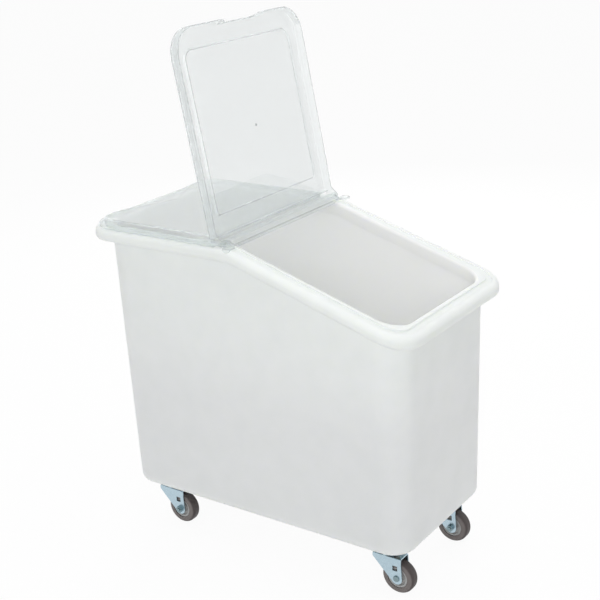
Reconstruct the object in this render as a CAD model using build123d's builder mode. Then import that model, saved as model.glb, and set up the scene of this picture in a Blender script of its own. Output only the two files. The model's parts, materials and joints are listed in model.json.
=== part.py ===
from build123d import *
import math
import os

# Sizes in mm. X runs across, Y along with the low front end at -Y, Z up from the floor.

# Bin body
body_length = 700
body_width = 360
body_bottom = 104
corner_radius = 60
wall = 5
floor_thickness = 10
draft = 1.0
bottom_radius = 18
inner_bottom_radius = 14

# Rim of the bin
rim_underside = 660
rim_height = 27
rim_overhang = 25
rim_corner = 60
opening_corner = 48
lip_inset = 12
lip_step = 0.3
lip_wall_low = 535
thin_wall_top = 340
wall_lap = 6
slope_start = 10
front_drop = 121
slope_blend = 120
bead_radius = 13
under_bead_radius = 9
lip_radius = 7
groove_outer = 14.5
groove_inner = 26.5
groove_depth = 3.2

# Lids
sheet = 3
seat_gap = 0.3
raised_height = 13.4
raised_front = 52.6
raised_side_step = 22
raised_rear_step = 15
raised_corner = 34
raised_draft = 16
flange_half_width = body_width / 2 + rim_overhang - 2
flange_front = 5
flange_rear = body_length / 2 + rim_overhang - 3
flange_corner = 74
raised_half_width = flange_half_width - raised_side_step
raised_rear = flange_rear - raised_rear_step
valley_half_width = 140
valley_length = 60
bar_height = 10.4
bar_rear = 31
bar_slope = 9
bar_face = 1.5
lip_drop = 3.3
lip_half_width = flange_half_width - 38
ear_front = -4
ear_rear = 13
ear_drop = 5.5
ear_gap = 0.4
ear_corner = 7
ear_root = flange_half_width - 13
notch_inner = flange_half_width - 9.4
notch_rear = 38
lug_half_width = flange_half_width - 10
lug_thickness = 6

lid_half_width = flange_half_width - 6
lid_length = 392
lid_corner = 55
skirt_depth = 19
end_skirt_depth = 10
lid_lean = 9.9
lid_foot_y = 51.7
lid_foot_z = 697.6
side_border = 33
free_border = 42
hinge_border = 38
panel_depth = 5
notch_depth = 6
notch_left = -45
notch_right = 54
notch_steep_ramp = 3
notch_long_ramp = 34
lid_edge_radius = 3
panel_corner = 20
panel_hinge_corner = 9
panel_draft = 20
gate_height = 181
gate_radius = 2
gate_rise = 0.8
pivot_back = 9
pivot_depth = 26
leg_top = 8
leg_curve = ((-5, 6), (-6, 17), (-13.9, 23.6), (-6, 30.6))
boss_radius = 5.5
stub_radius = 2.5
stub_length = 12

# Casters
caster_x = body_width / 2 - 68
front_caster_y = 79 - body_length / 2
rear_caster_y = body_length / 2 - 72
trail = 27
wheel_diameter = 70
tread_width = 23
fork_gap = 26
fork_sheet = 2.5
deck_top = 80
deck_front = 37
deck_rear = 26
lobe_radius = 12.5
plate_width = 60
plate_length = 76
plate_thickness = 3
plate_corner = 6
plate_hole_x = 44
plate_hole_y = 60
screw_radius = 3
screw_depth = 8
crown_rise = 7.5
crown_radius = 14
fork_bend = 4
deck_edge = 8
window_offset = 3
window_height = 57
window_size = 11
race_radius = 24
race_lip = 5
race_cone = 5
kingpin_radius = 4
kingpin_head_radius = 8
kingpin_head = 3
screw_head_across = 10
screw_head_height = 4
axle_radius = 4
sleeve_radius = 5
hub_half_length = 12.5
hub_radius = 11
core_radius = 22
core_rim = 4
core_width = 19
core_ridge = 1
core_ridge_inset = 1.2
core_ridge_width = 1.6
web_thickness = 8
tread_round = 7
nut_across = 13
nut_height = 6.5
bolt_end = 2
head_radius = 6.7
head_height = 3.5
running_clearance = 0.05
moving_gap = 0.3

caster_columns = (-caster_x, caster_x)
caster_rows = (front_caster_y, rear_caster_y)
rim_top = rim_underside + rim_height
slope = front_drop / (body_length / 2 + rim_overhang + slope_start)
taper_per_mm = math.tan(math.radians(draft))
outline_tolerance = 3
blend_sag = 3
reach = 600

os.makedirs("parts", exist_ok=True)


def save(part, name):
    """Names a finished piece and writes it under that name."""
    part.label = name
    export_step(part, f"parts/{name}.step")


def plan_block(inset, corner):
    """Tall upright block over the rim's outline moved in by the inset, with its own corner radius."""
    half_width = body_width / 2 + rim_overhang - inset
    half_length = body_length / 2 + rim_overhang - inset
    with BuildPart() as block:
        with BuildSketch(Plane.XY.offset(rim_top - reach)):
            RectangleRounded(2 * half_width, 2 * half_length, corner)
        extrude(amount=2 * reach)
    return block.part


def above_rim_line(height):
    """Everything above a line that runs level at this height and drops at the rim's slope."""
    with BuildPart() as region:
        with BuildSketch(Plane.YZ) as side:
            with BuildLine():
                Polyline(
                    (-reach, height - slope * (reach + slope_start)),
                    (slope_start, height),
                    (reach, height),
                    (reach, height + reach),
                    (-reach, height + reach),
                    close=True,
                )
            make_face()
            fillet(side.vertices().sort_by_distance((slope_start, height))[0], slope_blend)
        extrude(amount=reach, both=True)
    return region.part


def tapered_block(inset, z_bottom, edge_radius):
    """The wall's tapered block moved in by the inset, with its bottom edge rounded."""
    fall = (rim_underside - z_bottom) * taper_per_mm
    half_width = body_width / 2 - inset - fall
    half_length = body_length / 2 - inset - fall
    with BuildPart() as block:
        with BuildSketch(Plane.XY.offset(z_bottom)):
            RectangleRounded(2 * half_width, 2 * half_length, corner_radius - inset - fall)
        extrude(amount=rim_top + rim_height - z_bottom, taper=-draft)
        if edge_radius > 0:
            fillet(block.faces().sort_by(Axis.Z)[0].edges(), edge_radius)
    return block.part


def outline_distance(point, inset, corner):
    """Distance of a point, seen from above, from the rim's outline moved in by the inset."""
    x = abs(point.X) - (body_width / 2 + rim_overhang - inset - corner)
    y = abs(point.Y) - (body_length / 2 + rim_overhang - inset - corner)
    return abs(corner - math.hypot(max(x, 0), max(y, 0)) - min(max(x, y), 0))


def rim_line(y, height):
    """Height of the sloped rim line at y, without its blend."""
    return height - slope * max(0, slope_start - y)


def rim_loop(part, inset, corner, height):
    """Edges that run round the rim on this outline and near this height of the rim line."""
    found = []
    for edge in part.edges():
        middle = edge @ 0.5
        on_outline = outline_distance(middle, inset, corner) < outline_tolerance
        on_line = abs(middle.Z - rim_line(middle.Y, height)) < blend_sag
        if on_outline and on_line:
            found.append(edge)
    return ShapeList(found)


# Bin body: the rim slab with its beads and groove, then the tapered tub joined below it
opening_inset = rim_overhang + lip_inset
with BuildPart() as rim_slab:
    add(plan_block(0, rim_corner))
    add(tapered_block(lip_inset, lip_wall_low, 0), mode=Mode.SUBTRACT)
    add(above_rim_line(rim_top), mode=Mode.SUBTRACT)
    add(above_rim_line(rim_underside), mode=Mode.INTERSECT)
    fillet(rim_loop(rim_slab, 0, rim_corner, rim_top), bead_radius)
    fillet(rim_loop(rim_slab, 0, rim_corner, rim_underside), under_bead_radius)
    fillet(rim_loop(rim_slab, opening_inset, opening_corner, rim_top), lip_radius)

with BuildPart() as groove:
    add(plan_block(groove_outer, rim_corner - groove_outer))
    add(plan_block(groove_inner, rim_corner - groove_inner), mode=Mode.SUBTRACT)
    add(above_rim_line(rim_top - groove_depth), mode=Mode.INTERSECT)

# Hollow of the tub: thin walls low down, which thicken until they meet the lip of the rim
thick_inset = lip_inset - lip_step
narrowing = thick_inset - wall - (lip_wall_low - thin_wall_top) * taper_per_mm
narrowing_angle = math.degrees(math.atan(narrowing / (lip_wall_low - thin_wall_top)))
thin_top_inset = wall + (rim_underside - thin_wall_top) * taper_per_mm
with BuildPart() as hollow:
    add(tapered_block(wall, body_bottom + floor_thickness, inner_bottom_radius))
    split(bisect_by=Plane.XY.offset(thin_wall_top), keep=Keep.BOTTOM)
    with BuildSketch(Plane.XY.offset(thin_wall_top)):
        RectangleRounded(
            body_width - 2 * thin_top_inset,
            body_length - 2 * thin_top_inset,
            corner_radius - thin_top_inset,
        )
    extrude(amount=lip_wall_low - thin_wall_top, taper=narrowing_angle)
    add(tapered_block(thick_inset, lip_wall_low, 0))

with BuildPart() as bin_body:
    add(tapered_block(0, body_bottom, bottom_radius))
    add(hollow.part, mode=Mode.SUBTRACT)
    add(above_rim_line(rim_underside + wall_lap), mode=Mode.SUBTRACT)
    add(rim_slab.part)
    add(groove.part, mode=Mode.SUBTRACT)
    with Locations([(x, y, body_bottom) for x in caster_columns for y in caster_rows]):
        with GridLocations(plate_hole_x, plate_hole_y, 2, 2):
            Cylinder(
                screw_radius + running_clearance,
                screw_depth + moving_gap,
                align=(Align.CENTER, Align.CENTER, Align.MIN),
                mode=Mode.SUBTRACT,
            )
save(bin_body.part, "bin_body")


# Rear lid: flat flange on the rim, raised centre with a grip valley, cross bar, hook ears and lugs
flange_bottom = rim_top + seat_gap
flange_top = flange_bottom + sheet
raised_top = flange_bottom + raised_height
lean = math.radians(lid_lean)
pivot_y = lid_foot_y - pivot_back * math.sin(lean) - pivot_depth * math.cos(lean)
pivot_z = lid_foot_z - pivot_back * math.cos(lean) + pivot_depth * math.sin(lean)
ear_half_width = body_width / 2 + rim_overhang + ear_gap + sheet


def raised_block(inset, top):
    """Raised centre of the rear lid moved in by the inset, with upright front and sloped sides."""
    half_width = raised_half_width - inset
    length = raised_rear - raised_front
    with BuildPart() as block:
        with BuildSketch(Plane.XY.offset(flange_bottom)):
            with Locations((0, raised_front)):
                RectangleRounded(2 * half_width, 2 * (length - inset), raised_corner - inset)
        extrude(amount=top - flange_bottom, taper=raised_draft)
        fillet(block.faces().sort_by(Axis.Z)[-1].edges(), lid_edge_radius)
        split(bisect_by=Plane.XZ.offset(-raised_front - inset), keep=Keep.BOTTOM)
    return block.part


def valley(drop):
    """Sloping V trough that opens through the back of the raised centre, lowered by the drop."""
    depth = raised_top - flange_top
    start = Plane.XZ.offset(valley_length - raised_rear)
    with BuildPart() as trough:
        with BuildSketch(start):
            with BuildLine():
                Polyline(
                    (0, raised_top - drop),
                    (2 * valley_half_width, raised_top - drop + 2 * depth),
                    (2 * valley_half_width, raised_top + 4 * depth),
                    (-2 * valley_half_width, raised_top + 4 * depth),
                    (-2 * valley_half_width, raised_top - drop + 2 * depth),
                    close=True,
                )
            make_face()
        extrude(amount=2 * valley_length, dir=(0, valley_length, -depth))
    return trough.part


def bar_block(inset):
    """Cross bar at the front of the rear lid, moved in by the inset."""
    top = flange_bottom + bar_height - inset
    front = flange_front + inset
    with BuildPart() as bar:
        with BuildSketch(Plane.YZ):
            with BuildLine():
                Polyline(
                    (front, flange_bottom),
                    (front, flange_top + bar_face - inset),
                    (front + bar_slope, top),
                    (bar_rear - inset, top),
                    (bar_rear + sheet - inset, flange_bottom),
                    close=True,
                )
            make_face()
        extrude(amount=raised_half_width - inset, both=True)
    return bar.part


with BuildPart() as rear_lid:
    with BuildSketch(Plane.XY.offset(flange_bottom)) as flange:
        with Locations((0, flange_front)):
            Rectangle(2 * flange_half_width, flange_rear - flange_front, align=(Align.CENTER, Align.MIN))
        fillet(flange.vertices().group_by(Axis.Y)[-1], flange_corner)
    extrude(amount=sheet)
    add(raised_block(0, raised_top) - valley(0))
    add(bar_block(0))
    with Locations((0, flange_front, flange_top)):
        Box(2 * lip_half_width, sheet, lip_drop + sheet, align=(Align.CENTER, Align.MIN, Align.MAX))
    add(raised_block(sheet, raised_top - sheet) - valley(sheet), mode=Mode.SUBTRACT)
    add(bar_block(sheet), mode=Mode.SUBTRACT)
    for side in (-1, 1):
        outward = Align.MIN if side > 0 else Align.MAX
        inward = Align.MAX if side > 0 else Align.MIN
        with Locations((side * notch_inner, ear_rear, flange_bottom)):
            Box(
                reach,
                notch_rear - ear_rear,
                sheet,
                align=(outward, Align.MIN, Align.MIN),
                mode=Mode.SUBTRACT,
            )
        with BuildSketch(Plane.XY.offset(flange_bottom)):
            with Locations((side * ear_half_width, ear_front)):
                Rectangle(ear_half_width - ear_root, ear_rear - ear_front, align=(inward, Align.MIN))
        extrude(amount=sheet)
        with BuildSketch(Plane.YZ.offset(side * ear_half_width)) as hook:
            with Locations((ear_front, flange_top)):
                Rectangle(ear_rear - ear_front, sheet + ear_drop, align=(Align.MIN, Align.MAX))
            fillet(hook.vertices().group_by(Axis.Y)[0], ear_corner)
        extrude(amount=-side * sheet)
        with BuildSketch(Plane.YZ.offset(side * lug_half_width)):
            with Locations((pivot_y, pivot_z)):
                Circle(boss_radius)
            with Locations((pivot_y, flange_bottom)):
                Rectangle(2 * boss_radius, pivot_z - flange_bottom, align=(Align.CENTER, Align.MIN))
        extrude(amount=-side * lug_thickness)
        lug_middle = (side * (lug_half_width - lug_thickness / 2), pivot_y, pivot_z)
        with Locations(Location(lug_middle, (0, 90, 0))):
            Cylinder(stub_radius + running_clearance, lug_thickness, mode=Mode.SUBTRACT)
save(rear_lid.part, "rear_lid")


# Front lid: drawn standing open, leaning back against the front edge of the raised centre
up_lid = (0, math.sin(lean), math.cos(lean))
out_lid = (0, math.cos(lean), -math.sin(lean))
lid_plane = Plane(origin=(0, lid_foot_y, lid_foot_z), x_dir=(-1, 0, 0), z_dir=out_lid)


def lid_block(inset, depth_from, depth_to):
    """Block over the front lid's outline moved in by the inset, between two depths."""
    with BuildPart() as block:
        with BuildSketch(lid_plane.offset(-depth_from)) as outline:
            with Locations((0, inset)):
                Rectangle(
                    2 * (lid_half_width - inset),
                    lid_length - 2 * inset,
                    align=(Align.CENTER, Align.MIN),
                )
            fillet(outline.vertices().group_by(Axis.Y)[-1], lid_corner - inset)
            with BuildLine():
                Polyline(
                    (-notch_left + notch_steep_ramp + inset, lid_length - inset),
                    (-notch_left + inset, lid_length - notch_depth - inset),
                    (-notch_right - inset, lid_length - notch_depth - inset),
                    (-notch_right - notch_long_ramp - inset, lid_length - inset),
                    close=True,
                )
            make_face(mode=Mode.SUBTRACT)
        extrude(amount=depth_from - depth_to)
    return block.part


def panel_block(inset, depth):
    """Block over the sunken panel of the front lid moved in by the inset, down to a depth."""
    width = 2 * (lid_half_width - side_border - inset)
    length = lid_length - hinge_border - free_border - 2 * inset
    with BuildPart() as block:
        with BuildSketch(lid_plane) as outline:
            with Locations((0, hinge_border + inset + length / 2)):
                Rectangle(width, length)
            fillet(outline.vertices().group_by(Axis.Y)[0], panel_hinge_corner - inset)
            fillet(outline.vertices().group_by(Axis.Y)[-1], panel_corner - inset)
        extrude(amount=-depth, taper=panel_draft)
    return block.part


with BuildPart() as front_lid:
    add(lid_block(0, 0, skirt_depth))
    fillet(front_lid.faces().sort_by(Axis((0, 0, 0), out_lid))[-1].edges(), lid_edge_radius)
    add(lid_block(sheet, sheet, skirt_depth), mode=Mode.SUBTRACT)
    with Locations(lid_plane * Location((0, 0, -end_skirt_depth))):
        Box(
            2 * (lid_half_width - sheet),
            2 * sheet,
            skirt_depth,
            align=(Align.CENTER, Align.CENTER, Align.MAX),
            mode=Mode.SUBTRACT,
        )
    add(panel_block(-sheet, panel_depth + sheet))
    add(panel_block(0, panel_depth), mode=Mode.SUBTRACT)
    with Locations(lid_plane * Location((0, gate_height, -panel_depth - sheet))):
        Cylinder(gate_radius, gate_rise, align=(Align.CENTER, Align.CENTER, Align.MAX))
    for side in (-1, 1):
        outer_face = (side * lid_half_width, lid_foot_y, lid_foot_z)
        with BuildSketch(Plane(origin=outer_face, x_dir=up_lid, z_dir=(1, 0, 0))):
            with BuildLine():
                Polyline((leg_top, 0), (0, 0), *leg_curve, (leg_top, skirt_depth), close=True)
            make_face()
            with Locations((-pivot_back, pivot_depth)):
                Circle(boss_radius)
        extrude(amount=-side * sheet)
        with Locations(Location((side * lid_half_width, pivot_y, pivot_z), (0, -side * 90, 0))):
            Cylinder(stub_radius, stub_length, align=(Align.CENTER, Align.CENTER, Align.MIN))
save(front_lid.part, "front_lid")


# Casters: drawn once about an upright swivel axis at x = y = 0, trailing toward -Y
def place(part, corner, piece):
    """Copies a caster piece to its corner of the bin and names it."""
    x = caster_x if "right" in corner else -caster_x
    y = rear_caster_y if "rear" in corner else front_caster_y
    save(Pos(x, y, 0) * part, f"{corner}_{piece}")


plate_bottom = body_bottom - plate_thickness
crown_top = deck_top + crown_rise
wheel_radius = wheel_diameter / 2
fork_half_width = fork_gap / 2 + fork_sheet
pin_bore = kingpin_radius + running_clearance
bolt_bore = axle_radius + running_clearance
hub_bore = sleeve_radius + running_clearance

with BuildPart() as plate:
    with BuildSketch(Plane.XY.offset(plate_bottom)):
        RectangleRounded(plate_width, plate_length, plate_corner)
        with GridLocations(plate_hole_x, plate_hole_y, 2, 2):
            Circle(screw_radius + running_clearance, mode=Mode.SUBTRACT)
        Circle(pin_bore, mode=Mode.SUBTRACT)
    extrude(amount=plate_thickness)

with BuildPart() as screws:
    with BuildSketch(Plane.XY.offset(plate_bottom)):
        with GridLocations(plate_hole_x, plate_hole_y, 2, 2):
            Circle(screw_radius)
    extrude(amount=plate_thickness + screw_depth)
    with BuildSketch(Plane.XY.offset(plate_bottom)):
        with GridLocations(plate_hole_x, plate_hole_y, 2, 2):
            RegularPolygon(screw_head_across / 2, 6, major_radius=False)
    extrude(amount=-screw_head_height)

with BuildPart() as race:
    with BuildSketch(Plane.XZ):
        with BuildLine():
            Polyline(
                (pin_bore, plate_bottom),
                (race_radius, plate_bottom),
                (race_radius, plate_bottom - race_lip),
                (race_radius - race_cone, crown_top + moving_gap),
                (pin_bore, crown_top + moving_gap),
                close=True,
            )
        make_face()
    revolve(axis=Axis.Z)

with BuildPart() as kingpin:
    pin_bottom = crown_top - fork_sheet - moving_gap
    with Locations((0, 0, pin_bottom)):
        Cylinder(kingpin_radius, body_bottom - pin_bottom, align=(Align.CENTER, Align.CENTER, Align.MIN))
        Cylinder(kingpin_head_radius, kingpin_head, align=(Align.CENTER, Align.CENTER, Align.MAX))
    fillet(kingpin.edges().group_by(Axis.Z)[0], 1)

with BuildPart() as fork:
    with BuildSketch(Plane.YZ):
        with Locations((-trail, wheel_radius)):
            Circle(lobe_radius)
        with Locations((-deck_front, deck_top)):
            Rectangle(deck_front + deck_rear, deck_edge, align=(Align.MIN, Align.MAX))
        make_hull()
    extrude(amount=fork_half_width, both=True)
    fillet(fork.edges().filter_by(Axis.X, reverse=True).group_by(Axis.Z)[-1], fork_bend)
    with Locations((0, 0, deck_top - fork_sheet)):
        Box(fork_gap, reach, reach, align=(Align.CENTER, Align.CENTER, Align.MAX), mode=Mode.SUBTRACT)
        Cylinder(
            crown_radius,
            crown_top - deck_top + fork_sheet,
            align=(Align.CENTER, Align.CENTER, Align.MIN),
        )
        Cylinder(
            crown_radius - fork_sheet,
            crown_top - deck_top,
            align=(Align.CENTER, Align.CENTER, Align.MIN),
            mode=Mode.SUBTRACT,
        )
    with Locations((0, 0, crown_top)):
        Cylinder(pin_bore, 3 * fork_sheet, mode=Mode.SUBTRACT)
    with Locations((0, -trail + window_offset, window_height)):
        Box(reach, window_size, window_size, mode=Mode.SUBTRACT)
    with Locations(Location((0, -trail, wheel_radius), (0, 90, 0))):
        Cylinder(bolt_bore, reach, mode=Mode.SUBTRACT)

across_axle = Plane(origin=(0, -trail, wheel_radius), x_dir=(0, 0, 1), z_dir=(0, -1, 0))
axle_axis = Axis((0, -trail, wheel_radius), (1, 0, 0))

with BuildPart() as sleeve:
    with Locations(Location((0, -trail, wheel_radius), (0, 90, 0))):
        Cylinder(sleeve_radius, fork_gap)
        Cylinder(bolt_bore, fork_gap, mode=Mode.SUBTRACT)

with BuildPart() as wheel_core:
    with BuildSketch(across_axle):
        with Locations((hub_bore, 0)):
            Rectangle(hub_radius - hub_bore, 2 * hub_half_length, align=(Align.MIN, Align.CENTER))
            Rectangle(core_radius - hub_bore, web_thickness, align=(Align.MIN, Align.CENTER))
        with Locations((core_radius, 0)):
            Rectangle(core_rim, core_width, align=(Align.MAX, Align.CENTER))
        with Locations((core_radius - core_ridge_inset, 0)):
            Rectangle(core_ridge_width, core_width + 2 * core_ridge, align=(Align.MAX, Align.CENTER))
    revolve(axis=axle_axis)

with BuildPart() as tyre:
    with BuildSketch(across_axle) as section:
        with Locations((core_radius, 0)):
            Rectangle(wheel_radius - core_radius, tread_width, align=(Align.MIN, Align.CENTER))
        fillet(section.vertices().group_by(Axis.X)[-1], tread_round)
    revolve(axis=axle_axis)


def axle_pieces(head_side):
    """Axle bolt with a domed head on the given side (-1 or 1), and its nut on the other."""
    nut_side = -head_side
    middle = Location((0, -trail, wheel_radius), (0, 90, 0))
    with BuildPart() as axle:
        with Locations(middle):
            with Locations((0, 0, nut_side * (nut_height + bolt_end) / 2)):
                Cylinder(axle_radius, 2 * fork_half_width + nut_height + bolt_end)
        head_foot = (head_side * fork_half_width, -trail, wheel_radius)
        with Locations(Location(head_foot, (0, head_side * 90, 0))):
            Cylinder(head_radius, head_height, align=(Align.CENTER, Align.CENTER, Align.MIN))
        outer_edge = axle.edges().filter_by(GeomType.CIRCLE).sort_by(Axis.X)[-1 if head_side > 0 else 0]
        fillet(outer_edge, head_height - 0.4)
    with BuildPart() as nut:
        with BuildSketch(Plane.YZ.offset(nut_side * fork_half_width)):
            with Locations((-trail, wheel_radius)):
                RegularPolygon(nut_across / 2, 6, major_radius=False)
                Circle(bolt_bore, mode=Mode.SUBTRACT)
        extrude(amount=nut_side * nut_height)
    return axle.part, nut.part


for corner in ("front_left", "front_right", "rear_left", "rear_right"):
    place(plate.part, corner, "plate")
    place(screws.part, corner, "screws")
    place(race.part, corner, "race")
    place(kingpin.part, corner, "kingpin")
    place(fork.part, corner, "fork")
    place(sleeve.part, corner, "sleeve")
    place(wheel_core.part, corner, "wheel_core")
    place(tyre.part, corner, "tyre")
    axle, nut = axle_pieces(-1 if corner == "front_left" else 1)
    place(axle, corner, "axle")
    place(nut, corner, "nut")
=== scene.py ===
import json
import math

import bpy
from mathutils import Matrix, Vector

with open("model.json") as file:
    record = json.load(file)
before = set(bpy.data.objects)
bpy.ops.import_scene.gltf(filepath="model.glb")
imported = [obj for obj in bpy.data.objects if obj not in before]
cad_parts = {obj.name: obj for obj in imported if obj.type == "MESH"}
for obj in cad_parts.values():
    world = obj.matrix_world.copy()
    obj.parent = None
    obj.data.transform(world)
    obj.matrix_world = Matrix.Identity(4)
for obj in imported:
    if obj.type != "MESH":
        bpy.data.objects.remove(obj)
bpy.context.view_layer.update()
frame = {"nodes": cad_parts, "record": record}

# Metres throughout. X runs across the bin, Y towards its high rear end, Z up from the floor.

MM = 0.001


# Camera, as it stood for the photograph: angles in degrees, lens and sensor in millimetres
CAMERA_PLACE = (-1.878, -1.360, 1.3565)
CAMERA_AZIMUTH = -54.288
CAMERA_ELEVATION = 19.780
CAMERA_ROLL = -2.955
CAMERA_LENS = 72.84
CAMERA_SENSOR = 36.0


def photo_camera():
    """Camera at its place, turned to its azimuth, elevation and roll."""
    azimuth = math.radians(CAMERA_AZIMUTH)
    elevation = math.radians(CAMERA_ELEVATION)
    back = Vector((
        math.sin(azimuth) * math.cos(elevation),
        -math.cos(azimuth) * math.cos(elevation),
        math.sin(elevation),
    ))
    right = Vector((math.cos(azimuth), math.sin(azimuth), 0))
    level = Matrix((right, back.cross(right), back)).transposed()
    turned = level @ Matrix.Rotation(math.radians(CAMERA_ROLL), 3, "Z")
    data = bpy.data.cameras.new("camera")
    data.lens = CAMERA_LENS
    data.sensor_width = CAMERA_SENSOR
    camera = bpy.data.objects.new("camera", data)
    camera.matrix_world = Matrix.Translation(CAMERA_PLACE) @ turned.to_4x4()
    bpy.context.scene.collection.objects.link(camera)
    bpy.context.scene.camera = camera


photo_camera()
bpy.context.scene.view_settings.view_transform = "Standard"


# Sockets that share a name with another socket of their node, by number
FACTOR = 0
FIRST_COLOUR = 6
SECOND_COLOUR = 7
MIXED_COLOUR = 2
FIRST_SHADER = 1
SECOND_SHADER = 2
FIRST_VALUE = 0
SECOND_VALUE = 1

# Most of what a noise node gives lies between these
NOISE_LOW = 0.3
NOISE_HIGH = 0.7


# Colour and node helpers
def paint(code):
    """Linear colour with full alpha from an sRGB hex value such as #E9ECEA."""
    channels = []
    for start in (1, 3, 5):
        value = int(code[start:start + 2], 16) / 255
        if value <= 0.04045:
            channels.append(value / 12.92)
        else:
            channels.append(((value + 0.055) / 1.055) ** 2.4)
    return (*channels, 1.0)


def scale_for(width):
    """Noise scale whose patches are about this wide."""
    return 1 / width


def add_node(tree, kind, settings=None, links=None):
    """Adds a node, sets its sockets or properties by name or number, and links its sockets."""
    node = tree.nodes.new(kind)
    for name, value in (settings or {}).items():
        if isinstance(name, int) or name in node.inputs:
            node.inputs[name].default_value = value
        else:
            setattr(node, name, value)
    for name, source in (links or {}).items():
        tree.links.new(source, node.inputs[name])
    return node


def new_material(name):
    """An empty material, with its node tree and output node."""
    material = bpy.data.materials.new(name)
    material.use_nodes = True
    tree = material.node_tree
    tree.nodes.clear()
    output = add_node(tree, "ShaderNodeOutputMaterial")
    return material, tree, output


# Rotomoulded white polyethylene: a soft satin skin that lets light in, so thin walls glow,
# with the mould's pebbling, slight waviness from shrinkage and faint clouding. The inner walls
# are painted a little whiter than the outside and the rim, as painted light inside the bin.
# The pebbling is really under 1 mm and is drawn three times as coarse to show.
def white_polyethylene():
    cloud_width = 45 * MM
    wave_width = 120 * MM
    wave_depth = 2.0 * MM
    pebble_width = 3 * MM
    pebble_depth = 0.06 * MM
    edge_rounding = 2.5 * MM
    light_reach = 18 * MM

    material, tree, output = new_material("white_polyethylene")
    surface = add_node(tree, "ShaderNodeTexCoord")
    place = surface.outputs["Object"]
    cloud = add_node(
        tree, "ShaderNodeTexNoise",
        {"Scale": scale_for(cloud_width), "Detail": 3.0},
        {"Vector": place},
    )
    clouded_outside = add_node(
        tree, "ShaderNodeMix",
        {"data_type": "RGBA", FIRST_COLOUR: paint("#F1F4F3"), SECOND_COLOUR: paint("#EAEEEC")},
        {FACTOR: cloud.outputs["Fac"]},
    )

    # How far a face looks out from the bin's upright middle line: the inner walls, which look
    # back at it, come out well below zero and get the whiter colour, as painted light.
    level_place = add_node(
        tree, "ShaderNodeVectorMath",
        {"operation": "MULTIPLY", SECOND_VALUE: (1.0, 1.0, 0.0)},
        {FIRST_VALUE: place},
    )
    outward = add_node(
        tree, "ShaderNodeVectorMath", {"operation": "DOT_PRODUCT"},
        {FIRST_VALUE: level_place.outputs["Vector"], SECOND_VALUE: surface.outputs["Normal"]},
    )
    outside = add_node(
        tree, "ShaderNodeMapRange",
        {"From Min": -80 * MM, "From Max": -20 * MM},
        {"Value": outward.outputs["Value"]},
    )
    # The inner walls are painted whiter than the clouded outside, as painted light
    colour = add_node(
        tree, "ShaderNodeMix",
        {"data_type": "RGBA", FIRST_COLOUR: paint("#FDFEFD")},
        {FACTOR: outside.outputs["Result"], SECOND_COLOUR: clouded_outside.outputs[MIXED_COLOUR]},
    )
    gloss = add_node(
        tree, "ShaderNodeMapRange",
        {"From Min": NOISE_LOW, "From Max": NOISE_HIGH, "To Min": 0.36, "To Max": 0.46},
        {"Value": cloud.outputs["Fac"]},
    )

    waves = add_node(
        tree, "ShaderNodeTexNoise",
        {"Scale": scale_for(wave_width), "Detail": 1.0},
        {"Vector": place},
    )
    pebbles = add_node(
        tree, "ShaderNodeTexNoise",
        {"Scale": scale_for(pebble_width), "Detail": 2.0},
        {"Vector": place},
    )
    soft_edges = add_node(tree, "ShaderNodeBevel", {"samples": 4, "Radius": edge_rounding})
    wavy = add_node(
        tree, "ShaderNodeBump", {"Distance": wave_depth},
        {"Height": waves.outputs["Fac"], "Normal": soft_edges.outputs["Normal"]},
    )
    skin = add_node(
        tree, "ShaderNodeBump", {"Distance": pebble_depth},
        {"Height": pebbles.outputs["Fac"], "Normal": wavy.outputs["Normal"]},
    )
    shader = add_node(
        tree, "ShaderNodeBsdfPrincipled",
        {
            "IOR": 1.51,
            "Subsurface Weight": 1.0,
            "Subsurface Radius": (1.0, 1.0, 0.9),
            "Subsurface Scale": light_reach,
        },
        {
            "Base Color": colour.outputs[MIXED_COLOUR],
            "Roughness": gloss.outputs["Result"],
            "Normal": skin.outputs["Normal"],
        },
    )
    tree.links.new(shader.outputs["BSDF"], output.inputs["Surface"])
    return material


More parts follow.
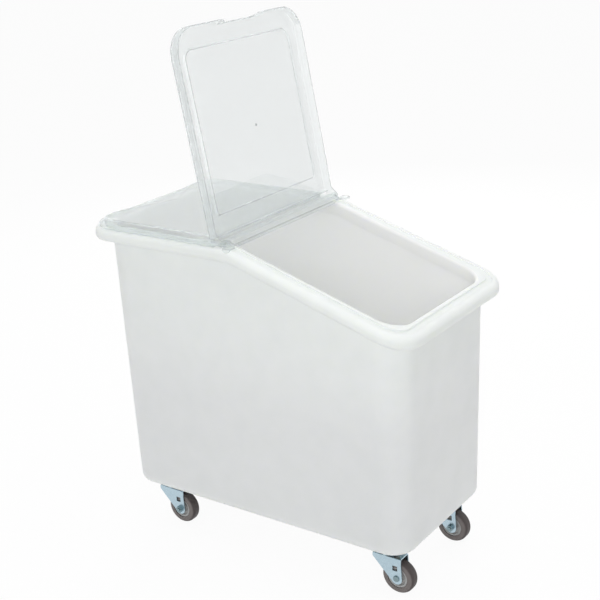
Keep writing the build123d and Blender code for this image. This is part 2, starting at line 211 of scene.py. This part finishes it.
# Injection moulded clear polycarbonate: glassy with a faint milky haze, a grey-green tint that
# gathers where the sheet is seen edge on, slow flow waves, and fine scuffs that dull the gloss.
# A small dull grey scar is left where the melt entered, in the middle of the front lid.
def clear_polycarbonate():
    flow_width = 60 * MM
    flow_depth = 0.1 * MM
    scuff_width = 9 * MM
    scar_place = (0.0, 74.9 * MM, 877.3 * MM)
    scar_radius = 2.0 * MM
    scar_edge = 0.4 * MM
    sheet_haze = 0.06
    scar_haze = 0.8
    unbent_share = 0.3

    material, tree, output = new_material("clear_polycarbonate")
    place = add_node(tree, "ShaderNodeTexCoord").outputs["Object"]
    flow = add_node(
        tree, "ShaderNodeTexNoise",
        {"Scale": scale_for(flow_width), "Detail": 1.0},
        {"Vector": place},
    )
    waves = add_node(
        tree, "ShaderNodeBump", {"Distance": flow_depth}, {"Height": flow.outputs["Fac"]},
    )
    scuffs = add_node(
        tree, "ShaderNodeTexNoise",
        {"Scale": scale_for(scuff_width), "Detail": 5.0},
        {"Vector": place},
    )
    dulled = add_node(
        tree, "ShaderNodeMapRange",
        {"From Min": 0.35, "From Max": 0.75, "To Min": 0.02, "To Max": 0.06},
        {"Value": scuffs.outputs["Fac"]},
    )

    # Clear sheet: part of the light passes without bending, and all of it in shadows, so that
    # thin lines behind the lids stay crisp and the lids' shadows stay pale
    glass = add_node(
        tree, "ShaderNodeBsdfPrincipled",
        {"Base Color": paint("#FAFCFC"), "IOR": 1.585, "Transmission Weight": 1.0},
        {"Roughness": dulled.outputs["Result"], "Normal": waves.outputs["Normal"]},
    )
    unbent = add_node(tree, "ShaderNodeBsdfTransparent", {"Color": paint("#FCFDFD")})
    ray = add_node(tree, "ShaderNodeLightPath")
    straight = add_node(
        tree, "ShaderNodeMath",
        {"operation": "MAXIMUM", SECOND_VALUE: unbent_share},
        {FIRST_VALUE: ray.outputs["Is Shadow Ray"]},
    )
    sheet = add_node(
        tree, "ShaderNodeMixShader", None,
        {
            FACTOR: straight.outputs["Value"],
            FIRST_SHADER: glass.outputs["BSDF"],
            SECOND_SHADER: unbent.outputs["BSDF"],
        },
    )

    # Haze, thin over the sheet and thick over the scar
    from_gate = add_node(
        tree, "ShaderNodeVectorMath",
        {"operation": "DISTANCE", SECOND_VALUE: scar_place},
        {FIRST_VALUE: place},
    )
    scar = add_node(
        tree, "ShaderNodeMapRange",
        {
            "From Min": scar_radius,
            "From Max": scar_radius + scar_edge,
            "To Min": 1.0,
            "To Max": 0.0,
        },
        {"Value": from_gate.outputs["Value"]},
    )
    milk = add_node(
        tree, "ShaderNodeMix",
        {"data_type": "RGBA", FIRST_COLOUR: paint("#F4F9F9"), SECOND_COLOUR: paint("#8A9190")},
        {FACTOR: scar.outputs["Result"]},
    )
    cloudiness = add_node(
        tree, "ShaderNodeMapRange",
        {"To Min": sheet_haze, "To Max": scar_haze},
        {"Value": scar.outputs["Result"]},
    )
    haze = add_node(tree, "ShaderNodeBsdfDiffuse", None, {"Color": milk.outputs[MIXED_COLOUR]})
    hazy_sheet = add_node(
        tree, "ShaderNodeMixShader", None,
        {
            FACTOR: cloudiness.outputs["Result"],
            FIRST_SHADER: sheet.outputs["Shader"],
            SECOND_SHADER: haze.outputs["BSDF"],
        },
    )
    tint = add_node(
        tree, "ShaderNodeVolumeAbsorption", {"Color": paint("#B2CCD0"), "Density": 6.0},
    )
    tree.links.new(hazy_sheet.outputs["Shader"], output.inputs["Surface"])
    tree.links.new(tint.outputs["Volume"], output.inputs["Volume"])
    return material


# Zinc-plated steel: blue-white metal with a faintly mottled passivated film. The pressed forks
# are bright and the turned axles and nuts are duller and greyer. The top plates take the same
# greyer colour and the bearing pieces a dark brown, both as painted shade in the gap under the
# bin. The film's grain is finer than 0.1 mm and is drawn over 1 mm wide to show.
def zinc_plated_steel(name, fresh, clouded):
    film_width = 7 * MM
    grain_width = 1.2 * MM
    grain_depth = 0.02 * MM
    edge_rounding = 0.6 * MM

    material, tree, output = new_material(name)
    place = add_node(tree, "ShaderNodeTexCoord").outputs["Object"]
    film = add_node(
        tree, "ShaderNodeTexNoise",
        {"Scale": scale_for(film_width), "Detail": 3.0},
        {"Vector": place},
    )
    colour = add_node(
        tree, "ShaderNodeMix",
        {"data_type": "RGBA", FIRST_COLOUR: paint(fresh), SECOND_COLOUR: paint(clouded)},
        {FACTOR: film.outputs["Fac"]},
    )
    gloss = add_node(
        tree, "ShaderNodeMapRange",
        {"From Min": NOISE_LOW, "From Max": NOISE_HIGH, "To Min": 0.24, "To Max": 0.36},
        {"Value": film.outputs["Fac"]},
    )
    grain = add_node(
        tree, "ShaderNodeTexNoise",
        {"Scale": scale_for(grain_width), "Detail": 2.0},
        {"Vector": place},
    )
    soft_edges = add_node(tree, "ShaderNodeBevel", {"samples": 4, "Radius": edge_rounding})
    skin = add_node(
        tree, "ShaderNodeBump", {"Distance": grain_depth},
        {"Height": grain.outputs["Fac"], "Normal": soft_edges.outputs["Normal"]},
    )
    shader = add_node(
        tree, "ShaderNodeBsdfPrincipled", {"Metallic": 1.0},
        {
            "Base Color": colour.outputs[MIXED_COLOUR],
            "Roughness": gloss.outputs["Result"],
            "Normal": skin.outputs["Normal"],
        },
    )
    tree.links.new(shader.outputs["BSDF"], output.inputs["Surface"])
    return material


# Grey thermoplastic rubber, moulded: dull and warm, with mould grain and a little picked-up
# dust. Its flat side walls are painted paler than the tread, as painted light.
# The mould grain is really well under 1 mm and is drawn 1.5 mm wide to show.
def grey_rubber():
    dust_width = 14 * MM
    grain_width = 1.5 * MM
    grain_depth = 0.1 * MM

    material, tree, output = new_material("grey_rubber")
    surface = add_node(tree, "ShaderNodeTexCoord")
    place = surface.outputs["Object"]
    dust = add_node(
        tree, "ShaderNodeTexNoise",
        {"Scale": scale_for(dust_width), "Detail": 4.0},
        {"Vector": place},
    )
    tread = add_node(
        tree, "ShaderNodeMix",
        {"data_type": "RGBA", FIRST_COLOUR: paint("#3C3534"), SECOND_COLOUR: paint("#504847")},
        {FACTOR: dust.outputs["Fac"]},
    )

    # The side walls are the faces that look along the axle, which runs along X. They are
    # painted paler, as painted light.
    facing = add_node(
        tree, "ShaderNodeSeparateXYZ", None, {"Vector": surface.outputs["Normal"]},
    )
    sideways = add_node(
        tree, "ShaderNodeMath", {"operation": "ABSOLUTE"}, {FIRST_VALUE: facing.outputs["X"]},
    )
    painted_light_sides = add_node(
        tree, "ShaderNodeMapRange",
        {"From Min": 0.75, "From Max": 0.97},
        {"Value": sideways.outputs["Value"]},
    )
    colour = add_node(
        tree, "ShaderNodeMix",
        {"data_type": "RGBA", SECOND_COLOUR: paint("#77706E")},
        {FACTOR: painted_light_sides.outputs["Result"], FIRST_COLOUR: tread.outputs[MIXED_COLOUR]},
    )
    gloss = add_node(
        tree, "ShaderNodeMapRange",
        {"From Min": NOISE_LOW, "From Max": NOISE_HIGH, "To Min": 0.42, "To Max": 0.62},
        {"Value": dust.outputs["Fac"]},
    )
    grain = add_node(
        tree, "ShaderNodeTexNoise",
        {"Scale": scale_for(grain_width), "Detail": 3.0},
        {"Vector": place},
    )
    skin = add_node(
        tree, "ShaderNodeBump", {"Distance": grain_depth}, {"Height": grain.outputs["Fac"]},
    )
    shader = add_node(
        tree, "ShaderNodeBsdfPrincipled", {"IOR": 1.5},
        {
            "Base Color": colour.outputs[MIXED_COLOUR],
            "Roughness": gloss.outputs["Result"],
            "Normal": skin.outputs["Normal"],
        },
    )
    tree.links.new(shader.outputs["BSDF"], output.inputs["Surface"])
    return material


# Grey polypropylene wheel centre, moulded: smoother and paler than the tyre around it.
# The mould grain is really well under 1 mm and is drawn 2 mm wide to show.
def grey_polypropylene():
    grain_width = 2 * MM
    grain_depth = 0.04 * MM

    material, tree, output = new_material("grey_polypropylene")
    place = add_node(tree, "ShaderNodeTexCoord").outputs["Object"]
    grain = add_node(
        tree, "ShaderNodeTexNoise",
        {"Scale": scale_for(grain_width), "Detail": 2.0},
        {"Vector": place},
    )
    colour = add_node(
        tree, "ShaderNodeMix",
        {"data_type": "RGBA", FIRST_COLOUR: paint("#B6B6B4"), SECOND_COLOUR: paint("#C1C1C0")},
        {FACTOR: grain.outputs["Fac"]},
    )
    gloss = add_node(
        tree, "ShaderNodeMapRange",
        {"From Min": NOISE_LOW, "From Max": NOISE_HIGH, "To Min": 0.34, "To Max": 0.44},
        {"Value": grain.outputs["Fac"]},
    )
    skin = add_node(
        tree, "ShaderNodeBump", {"Distance": grain_depth}, {"Height": grain.outputs["Fac"]},
    )
    shader = add_node(
        tree, "ShaderNodeBsdfPrincipled", {"IOR": 1.49},
        {
            "Base Color": colour.outputs[MIXED_COLOUR],
            "Roughness": gloss.outputs["Result"],
            "Normal": skin.outputs["Normal"],
        },
    )
    tree.links.new(shader.outputs["BSDF"], output.inputs["Surface"])
    return material


# Finish of each piece: that of its material slot, or for some steel pieces that of their kind.
# The top plates and bearing pieces get darker steel there, as painted shade under the bin.
FINISHES = {
    "white_polyethylene": white_polyethylene(),
    "clear_polycarbonate": clear_polycarbonate(),
    "zinc_plated_steel": zinc_plated_steel("zinc_plated_sheet", "#BFD3DD", "#AEC3CE"),
    "dull_steel_and_shade": zinc_plated_steel("zinc_plated_bar_and_shaded_plate", "#93A6AB", "#7F9297"),
    "shaded_bearing_steel": zinc_plated_steel("bearing_steel_painted_shade", "#6E6258", "#574E48"),
    "grey_rubber": grey_rubber(),
    "grey_plastic": grey_polypropylene(),
}
# The plates, races and kingpins are darkened as painted shade in the gap under the bin
STEEL_PIECES = {
    "_axle": "dull_steel_and_shade",
    "_nut": "dull_steel_and_shade",
    "_plate": "dull_steel_and_shade",
    "_race": "shaded_bearing_steel",
    "_kingpin": "shaded_bearing_steel",
}
for entry in frame["record"]["subparts"]:
    finish = entry["material_slot"]
    for ending, steel in STEEL_PIECES.items():
        if entry["node"].endswith(ending):
            finish = steel
    node = frame["nodes"][entry["node"]]
    node.data.materials.clear()
    node.data.materials.append(FINISHES[finish])


# Studio: pale floor, white surround and four large soft lamps
FLOOR_REACH = 20.0
LAMP_AIM = (0, 0, 0.45)


def seen_directly(tree):
    """1 for camera, glossy and transmission rays, which see the background as white."""
    ray = add_node(tree, "ShaderNodeLightPath")
    seen_or_mirrored = add_node(
        tree, "ShaderNodeMath", {"operation": "MAXIMUM"},
        {FIRST_VALUE: ray.outputs["Is Camera Ray"], SECOND_VALUE: ray.outputs["Is Glossy Ray"]},
    )
    direct = add_node(
        tree, "ShaderNodeMath", {"operation": "MAXIMUM"},
        {
            FIRST_VALUE: seen_or_mirrored.outputs["Value"],
            SECOND_VALUE: ray.outputs["Is Transmission Ray"],
        },
    )
    return direct.outputs["Value"]


def pale_floor(white_share):
    """Floor that renders nearly white but keeps a faint shadow."""
    material, tree, output = new_material("pale_floor")
    matt = add_node(tree, "ShaderNodeBsdfDiffuse", {"Color": paint("#F4F4F4")})
    white = add_node(tree, "ShaderNodeEmission", {"Strength": 1.0})
    share = add_node(
        tree, "ShaderNodeMath",
        {"operation": "MULTIPLY", SECOND_VALUE: white_share},
        {FIRST_VALUE: seen_directly(tree)},
    )
    mixed = add_node(
        tree, "ShaderNodeMixShader", None,
        {
            FACTOR: share.outputs["Value"],
            FIRST_SHADER: matt.outputs["BSDF"],
            SECOND_SHADER: white.outputs["Emission"],
        },
    )
    tree.links.new(mixed.outputs["Shader"], output.inputs["Surface"])
    mesh = bpy.data.meshes.new("floor")
    corners = [
        (-FLOOR_REACH, -FLOOR_REACH, 0),
        (FLOOR_REACH, -FLOOR_REACH, 0),
        (FLOOR_REACH, FLOOR_REACH, 0),
        (-FLOOR_REACH, FLOOR_REACH, 0),
    ]
    mesh.from_pydata(corners, [], [(0, 1, 2, 3)])
    mesh.materials.append(material)
    floor = bpy.data.objects.new("floor", mesh)
    bpy.context.scene.collection.objects.link(floor)


def white_surround(strength):
    """World that looks white and lights the object evenly at the given strength."""
    world = bpy.data.worlds.new("surround")
    bpy.context.scene.world = world
    world.use_nodes = True
    tree = world.node_tree
    tree.nodes.clear()
    output = add_node(tree, "ShaderNodeOutputWorld")
    dim = add_node(
        tree, "ShaderNodeBackground", {"Color": paint("#FFFFFF"), "Strength": strength},
    )
    white = add_node(tree, "ShaderNodeBackground", {"Color": paint("#FFFFFF"), "Strength": 1.0})
    mixed = add_node(
        tree, "ShaderNodeMixShader", None,
        {
            FACTOR: seen_directly(tree),
            FIRST_SHADER: dim.outputs["Background"],
            SECOND_SHADER: white.outputs["Background"],
        },
    )
    tree.links.new(mixed.outputs["Shader"], output.inputs["Surface"])


def soft_lamp(name, place, size, watts):
    """Square area lamp aimed at the bin's middle, hidden so that lids mirror only the surround."""
    data = bpy.data.lights.new(name, "AREA")
    data.shape = "SQUARE"
    data.size = size
    data.energy = watts
    lamp = bpy.data.objects.new(name, data)
    lamp.visible_glossy = False
    lamp.visible_transmission = False
    aim = Vector(LAMP_AIM) - Vector(place)
    turned = aim.to_track_quat("-Z", "Y").to_matrix().to_4x4()
    lamp.matrix_world = Matrix.Translation(place) @ turned
    bpy.context.scene.collection.objects.link(lamp)


pale_floor(white_share=0.94)
white_surround(strength=0.54)
soft_lamp("overhead_lamp", place=(0.0, -0.3, 3.2), size=2.4, watts=28)
soft_lamp("key_lamp", place=(-2.6, -1.9, 1.75), size=0.9, watts=16)
soft_lamp("side_lamp", place=(-3.0, -0.4, 2.0), size=1.2, watts=9)
soft_lamp("far_lamp", place=(2.4, 1.2, 1.6), size=1.6, watts=30)
